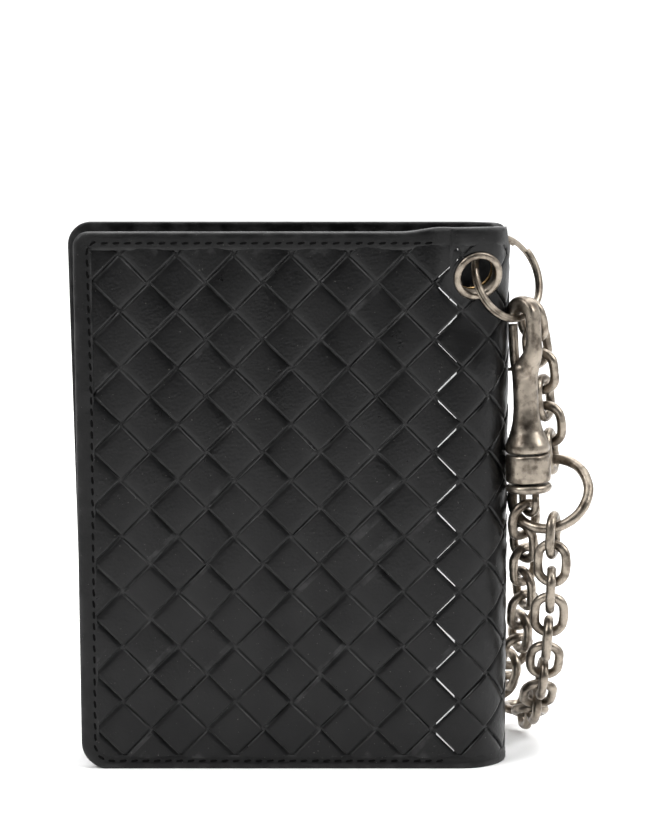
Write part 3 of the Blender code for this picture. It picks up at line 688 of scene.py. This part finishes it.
def metal_piece(name, edit, body, node):
    """Finishes a metal bmesh as a piece that stands for one CAD node."""
    bmesh.ops.recalc_face_normals(edit, faces=edit.faces)
    mesh = bpy.data.meshes.new(name)
    edit.to_mesh(mesh)
    edit.free()
    mesh.shade_smooth()
    mesh.materials.append(aged_silver)
    made = placed(name, mesh)
    if body:
        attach(made, body)
        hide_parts(node)
    return made


def lathe(edit, base, axis, profile, sides=64, hollow=False):
    """Turns (height, radius) pairs round the axis; a hollow profile closes on itself."""
    other = Vector((0, 0, 1)) if abs(axis.z) < 0.9 else Vector((1, 0, 0))
    first = axis.cross(other).normalized()
    second = axis.cross(first).normalized()
    turns = [2 * math.pi * step / sides for step in range(sides)]
    arms = [first * math.cos(turn) + second * math.sin(turn) for turn in turns]
    if hollow:
        rows = [[edit.verts.new(base + axis * h + arm * r) for h, r in profile] for arm in arms]
        for row, following in zip(rows, rows[1:] + rows[:1]):
            for i in range(len(row)):
                j = (i + 1) % len(row)
                edit.faces.new((row[i], row[j], following[j], following[i]))
    else:
        skin_between(edit, [[edit.verts.new(base + axis * h + arm * r) for arm in arms] for h, r in profile])


def round_over(profile, radius, steps=3):
    """Takes the corners off a lathe profile."""
    points = [Vector(p) for p in profile]
    out = [points[0]]
    for before, here, after in zip(points, points[1:], points[2:]):
        a, b = before - here, after - here
        cut = min(radius, a.length * 0.45, b.length * 0.45)
        p, q = here + a.normalized() * cut, here + b.normalized() * cut
        for step in range(steps + 1):
            t = step / steps
            out.append((1 - t) ** 2 * p + 2 * t * (1 - t) * here + t * t * q)
    out.append(points[-1])
    return [(p.x, p.y) for p in out]


def sweep(edit, centres, across, normal, sections):
    """Carries flat sections along a bar that bends in one plane; across is given for each centre."""
    rows = []
    for centre, side, section in zip(centres, across, sections):
        rows.append([edit.verts.new(centre + side * a + normal * b) for a, b in section])
    skin_between(edit, rows)


def bar_sides(middles, normal):
    """The direction across a bar at each of its middles."""
    sides = []
    for index in range(len(middles)):
        ahead = middles[min(index + 1, len(middles) - 1)] - middles[max(index - 1, 0)]
        sides.append(ahead.normalized().cross(normal).normalized())
    return sides


def soft_section(width, thickness, count=20, square=3.2):
    """A rounded bar's outline, between a circle and a rectangle."""
    out = []
    for step in range(count):
        angle = 2 * math.pi * step / count
        c, s = math.cos(angle), math.sin(angle)
        wide = math.copysign(abs(c) ** (2 / square), c) * width / 2
        thick = math.copysign(abs(s) ** (2 / square), s) * thickness / 2
        out.append((wide, thick))
    return out


def curve_through(points, count):
    """Evenly numbered samples of a smooth curve through every point; points may have any dimension."""
    points = np.array([list(p) for p in points])
    ends = np.vstack([2 * points[0] - points[1], points, 2 * points[-1] - points[-2]])
    out = []
    for value in np.linspace(0, len(points) - 1 - 1e-9, count):
        i, t = int(value), value - int(value)
        p0, p1, p2, p3 = ends[i : i + 4]
        second, third = 2 * p0 - 5 * p1 + 4 * p2 - p3, 3 * p1 - p0 - 3 * p2 + p3
        out.append(0.5 * (2 * p1 + (p2 - p0) * t + second * t**2 + third * t**3))
    return out


# Eyelet ----------------------------------------------------------------------------
# A brass eyelet plated with silver, its flange rolled over the leather and its barrel through it.
EYELET_YAW, EYELET_LEVEL, EYELET_DROP = 0.2915, 0.957, -0.2932
EYELET_AXIS = Vector((math.sin(EYELET_YAW) * EYELET_LEVEL, -math.cos(EYELET_YAW) * EYELET_LEVEL, EYELET_DROP))
EYELET_AXIS = EYELET_AXIS.normalized()
eyelet_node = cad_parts["eyelet"]
eyelet_points = [eyelet_node.matrix_world @ v.co for v in eyelet_node.data.vertices]
EYELET_MIDDLE = sum(eyelet_points, Vector()) / len(eyelet_points)
eyelet_spread = np.array([p[:] for p in eyelet_points]) - np.array(EYELET_MIDDLE[:])
eyelet_reach = float((eyelet_spread @ np.array(EYELET_AXIS[:])).max())
eyelet_edit = bmesh.new()
# height from the front of the flange, radius
flange = [
    (-0.0030, 0.0041),
    (-0.0004, 0.0040),
    (-0.0001, 0.00415),
    (0.0, 0.0044),
    (0.00005, 0.0047),
    (-0.0001, 0.0052),
    (-0.0004, 0.00555),
    (-0.0006, 0.00545),
    (-0.0006, 0.0045),
    (-0.0030, 0.0045),
]
flange = [(eyelet_reach + h, r) for h, r in flange]
lathe(eyelet_edit, EYELET_MIDDLE, EYELET_AXIS, flange, 72, hollow=True)
metal_piece("eyelet_shell", eyelet_edit, "spine", "eyelet")

# Split ring ------------------------------------------------------------------------
# Two turns of flattened spring wire wound close together, each end cut square.
RING_CENTRE = Vector((0.0468, -0.0125, 0.1087))
RING_DOWN = Vector((0.459, 0.0, -0.888)).normalized()
RING_SIDE = Vector((0.630, 0.705, 0.326)).normalized()
RING_NORMAL = RING_DOWN.cross(RING_SIDE).normalized()
RING_RADIUS, RING_PITCH, RING_STEPS, RING_SHORT = 0.0093, 0.0008, 96, 4
ring_edit = bmesh.new()
ring_section = soft_section(0.00135, 0.00070, 14, 2.6)
ring_rows = []
for step in range(2 * RING_STEPS - RING_SHORT):
    angle = 2 * math.pi * step / RING_STEPS
    arm = RING_DOWN * math.cos(angle + math.pi * 0.7) + RING_SIDE * math.sin(angle + math.pi * 0.7)
    middle = RING_CENTRE + arm * RING_RADIUS + RING_NORMAL * RING_PITCH * (step / RING_STEPS - 1)
    ring_rows.append([ring_edit.verts.new(middle + arm * a + RING_NORMAL * b) for a, b in ring_section])
skin_between(ring_edit, ring_rows)
metal_piece("split_ring_wire", ring_edit, "split_ring", "split_ring")

# Snap hook -------------------------------------------------------------------------
# One casting: a turned shank with a flared foot, running up into a small loop that a sprung
# gate closes. The swivel's barrel, rim and eye turn below it.
HOOK_UP = Vector((-0.045, 0.0, 0.999)).normalized()
HOOK_ACROSS = Vector((0.70, -0.714, 0.0))
HOOK_ACROSS = (HOOK_ACROSS - HOOK_UP * HOOK_ACROSS.dot(HOOK_UP)).normalized()
HOOK_NORMAL = HOOK_UP.cross(HOOK_ACROSS).normalized()
seat_angle = math.radians(-12)
seat = RING_CENTRE + (RING_DOWN * math.cos(seat_angle) + RING_SIDE * math.sin(seat_angle)) * RING_RADIUS
HOOK_BASE = seat + HOOK_ACROSS * 0.0006 - HOOK_UP * 0.0386


def in_hook(across, up):
    return HOOK_BASE + HOOK_ACROSS * across + HOOK_UP * up


hook_edit = bmesh.new()
# height, radius
shank = [(0.0089, 0.0), (0.0089, 0.0047), (0.0096, 0.00492), (0.0106, 0.00485), (0.0112, 0.0046)]
shank += [(0.0122, 0.0042), (0.0138, 0.0036), (0.0158, 0.0031), (0.0185, 0.0028), (0.0215, 0.00275)]
shank += [(0.0250, 0.0028), (0.0272, 0.0029), (0.0283, 0.0026), (0.0290, 0.0016), (0.0292, 0.0)]
shank = [(h, max(r, 0.00002)) for h, r in round_over(shank, 0.00045)]
lathe(hook_edit, HOOK_BASE, HOOK_UP, shank, 56)
# across, up, width, thickness
loop_stops = [(0.0, 0.0262, 0.0052, 0.0052), (0.0012, 0.0285, 0.0044, 0.0046)]
loop_stops += [(0.0026, 0.0312, 0.0034, 0.0040), (0.0030, 0.0345, 0.0026, 0.0034)]
loop_stops += [(0.0030, 0.0375, 0.0026, 0.0034)]
for index, width in enumerate((0.0026, 0.0030, 0.0034, 0.0036, 0.0034, 0.0028, 0.0024)):
    turn = math.radians(30 * index)
    loop_stops.append((0.0030 * math.cos(turn), 0.0385 + 0.0032 * math.sin(turn), width, 0.0034))
loop_stops += [(-0.0030, 0.0376, 0.0022, 0.0028)]
loop_run = curve_through(loop_stops, 90)
loop_middles = [in_hook(a, u) for a, u, _, _ in loop_run]
loop_sections = [soft_section(w, t) for _, _, w, t in loop_run]
sweep(hook_edit, loop_middles, bar_sides(loop_middles, HOOK_NORMAL), HOOK_NORMAL, loop_sections)
hook_piece = metal_piece("hook_casting", hook_edit, None, None)
melt = hook_piece.modifiers.new("melt", "REMESH")
melt.mode = "VOXEL"
melt.voxel_size = 0.00017
soften = hook_piece.modifiers.new("soften", "SMOOTH")
soften.iterations = 6
soften.factor = 0.5
hook_piece.data = plain_mesh(hook_piece, "hook_casting")
hook_piece.data.shade_smooth()
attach(hook_piece, "hook")
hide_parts("hook_body")

gate_edit = bmesh.new()
gate_stops = [(-0.0026, 0.0263, 0.0014), (-0.0026, 0.0274, 0.0020), (-0.0029, 0.0300, 0.0020)]
gate_stops += [(-0.0030, 0.0340, 0.0020), (-0.0030, 0.0372, 0.0018)]
gate_run = curve_through(gate_stops, 30)
gate_middles = [in_hook(a, u) for a, u, _ in gate_run]
gate_sections = [soft_section(w, 0.0018, 16) for _, _, w in gate_run]
sweep(gate_edit, gate_middles, [HOOK_ACROSS] * len(gate_run), HOOK_NORMAL, gate_sections)
metal_piece("gate_bar", gate_edit, "hook_gate", "hook_gate")

barrel_edit = bmesh.new()
barrel = [(0.0022, 0.0021), (0.0086, 0.0021), (0.0086, 0.0046), (0.0082, 0.00495)]
barrel += [(0.0074, 0.0050), (0.0030, 0.0050), (0.0024, 0.0048), (0.0022, 0.0021)]
barrel = round_over(barrel, 0.0003)[:-1]
lathe(barrel_edit, HOOK_BASE, HOOK_UP, barrel, 64, hollow=True)
metal_piece("swivel_barrel_shell", barrel_edit, "swivel", "swivel_barrel")
rim_edit = bmesh.new()
rim = [(0.0, 0.00002), (0.0, 0.0042), (0.0002, 0.0047), (0.0008, 0.0051)]
rim += [(0.0014, 0.0051), (0.0019, 0.0047), (0.0020, 0.00002)]
lathe(rim_edit, HOOK_BASE, HOOK_UP, round_over(rim, 0.0003), 64)
metal_piece("swivel_rim_disc", rim_edit, "swivel", "swivel_rim")

eye_across = Vector((-0.52, 0.854, 0.0))
eye_across = (eye_across - HOOK_UP * eye_across.dot(HOOK_UP)).normalized()
eye_normal = HOOK_UP.cross(eye_across).normalized()
EYE_HALF, EYE_TOP, EYE_DROP, EYE_WIRE, EYE_STEPS = 0.0025, 0.0002, 0.0023, 0.00164, 36
eye_middles = [in_hook(0, -EYE_TOP) - eye_across * EYE_HALF]
for step in range(EYE_STEPS + 1):
    angle = math.pi * step / EYE_STEPS
    drop = EYE_DROP + EYE_HALF * math.sin(angle)
    eye_middles.append(in_hook(0, 0) - eye_across * EYE_HALF * math.cos(angle) - HOOK_UP * drop)
eye_middles.append(in_hook(0, -EYE_TOP) + eye_across * EYE_HALF)
eye_sections = [soft_section(EYE_WIRE, EYE_WIRE, 18, 2)] * len(eye_middles)
eye_edit = bmesh.new()
sweep(eye_edit, eye_middles, bar_sides(eye_middles, eye_normal), eye_normal, eye_sections)
metal_piece("swivel_eye_wire", eye_edit, "swivel", "swivel_eye")

# Chain -----------------------------------------------------------------------------
# Cable chain of cast oval links, each a little uneven, with the butt of its wire on one side.
# One link is swept once and laid on every link of the chain; the large ring is round.
WIRE, LINK_LENGTH, LINK_WIDTH = 0.00104, 0.01078, 0.00848
LARGE_RING, LARGE_WIRE = 0.01968, 0.00114
ROUND = 1e-6  # a straight shorter than this is none
chain_inputs = (("Radius", "Float", WIRE), ("Sides", "Int", 18))
chain_tree, chain_given, chain_end = node_group("wire_loop", chain_inputs)
chain_curve = chain_tree.nodes.new("GeometryNodeMeshToCurve")
chain_section = chain_tree.nodes.new("GeometryNodeCurvePrimitiveCircle")
chain_sweep = chain_tree.nodes.new("GeometryNodeCurveToMesh")
for source, target in (
    (chain_given["Geometry"], chain_curve.inputs["Mesh"]),
    (chain_curve.outputs["Curve"], chain_sweep.inputs["Curve"]),
    (chain_given["Radius"], chain_section.inputs["Radius"]),
    (chain_given["Sides"], chain_section.inputs["Resolution"]),
    (chain_section.outputs["Curve"], chain_sweep.inputs["Profile Curve"]),
    (chain_sweep.outputs["Mesh"], chain_end),
):
    chain_tree.links.new(source, target)


def wire_loop(name, length, width, wire, steps):
    """A closed loop of wire in its own xy plane: straight sides and round ends, or round all over."""
    end = (width - 2 * wire) / 2
    straight = (length - 2 * wire) / 2 - end
    middles = []
    for step in range(steps):
        angle = 2 * math.pi * step / steps
        across, up = math.cos(angle), math.sin(angle)
        shift = straight * math.copysign(min(1, abs(across) * 3), across) if straight > ROUND else 0
        middles.append((shift + end * across, end * up, 0))
    line = bpy.data.meshes.new(name + "_line")
    line.from_pydata(middles, [(i, (i + 1) % steps) for i in range(steps)], [])
    made = placed(name, line)
    mesh = grown(made, chain_tree, Radius=wire, Material=aged_silver)
    bpy.data.objects.remove(made)
    # flats and dents of the casting, and the pinched butt joint
    points = np.array([v.co[:] for v in mesh.vertices])
    swell = 0.00005 * np.sin(points[:, 0] * 900 + 1) * np.sin(points[:, 1] * 1100)
    butt = 1 - 0.16 * np.exp(-((points[:, 0] - 0.0008) / 0.00022) ** 2) * (points[:, 1] > 0)
    for vertex, point, s, b in zip(mesh.vertices, points, swell, butt):
        centre = np.zeros(3)
        if straight > ROUND:
            centre[0] = min(straight, abs(point[0])) * math.copysign(1, point[0])
        outward = point - centre
        outward[2] = 0
        reach = np.linalg.norm(outward)
        rim = centre + outward / max(reach, 1e-9) * end
        vertex.co = rim + (point - rim) * b * (1 + s / wire)
    mesh.shade_smooth()
    return mesh


link_mesh = wire_loop("link_wire", LINK_LENGTH, LINK_WIDTH, WIRE, 72)
large_ring_mesh = wire_loop("large_ring_wire", LARGE_RING, LARGE_RING, LARGE_WIRE, 120)
generator = np.random.default_rng(3)


def laid_on(node_name):
    """The place of a loop, from the middle, the longest way and the shortest way of its node."""
    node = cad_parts[node_name]
    points = np.array([(node.matrix_world @ v.co)[:] for v in node.data.vertices])
    centre = points.mean(0)
    _, vectors = np.linalg.eigh(np.cov((points - centre).T))
    along, normal = Vector(vectors[:, 2]), Vector(vectors[:, 0])
    if generator.random() < 0.5:
        along = -along
    across = normal.cross(along)
    return Matrix.Translation(Vector(centre)) @ Matrix((along, across, normal)).transposed().to_4x4()


chain_nodes = [f"upper_link_{i}" for i in range(1, 7)] + [f"ring_link_{i}" for i in range(1, 13)]
chain_nodes += [f"hook_link_{i}" for i in range(1, 13)] + ["adjuster_ring"]
for node_name in chain_nodes:
    mesh = (large_ring_mesh if node_name == "adjuster_ring" else link_mesh).copy()
    mesh.transform(laid_on(node_name))
    wire_piece = placed(node_name + "_wire", mesh)
    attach(wire_piece, node_name)
    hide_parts(node_name)

# The rest of the chain lies gathered on the floor behind the wallet, in three rows.
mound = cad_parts["chain_run"]
mound_points = np.array([(mound.matrix_world @ v.co)[:] for v in mound.data.vertices])
mound_low, mound_high = mound_points.min(0), mound_points.max(0)
RUN_ROWS, RUN_SPACING, RUN_HEIGHT, RUN_TILT = (0.0062, 0.0130, 0.0198), 0.0063, 0.0036, 38
run_meshes = bmesh.new()
stations = []
for row, y_row in enumerate(RUN_ROWS):
    xs = np.arange(mound_low[0] + 0.0075, mound_high[0] - 0.0070, RUN_SPACING)
    y = mound_low[1] + y_row
    stations += [(x, y + 0.0005 * math.sin(x * 400)) for x in (xs if row % 2 else xs[::-1])]
for index, (x, y) in enumerate(stations):
    tilt = math.radians(RUN_TILT if index % 2 else -RUN_TILT) + float(generator.normal(0, 0.06))
    turned = Matrix.Rotation(float(generator.normal(0, 0.05)), 4, "Z")
    copy_mesh = link_mesh.copy()
    copy_mesh.transform(Matrix.Translation((x, y, RUN_HEIGHT)) @ turned @ Matrix.Rotation(tilt, 4, "X"))
    run_meshes.from_mesh(copy_mesh)
    bpy.data.meshes.remove(copy_mesh)
run_mesh = bpy.data.meshes.new("gathered_chain")
run_meshes.to_mesh(run_mesh)
run_meshes.free()
run_mesh.shade_smooth()
run_mesh.materials.append(aged_silver)
gathered = placed("gathered_chain", run_mesh)
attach(gathered, "chain_run")
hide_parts("chain_run")
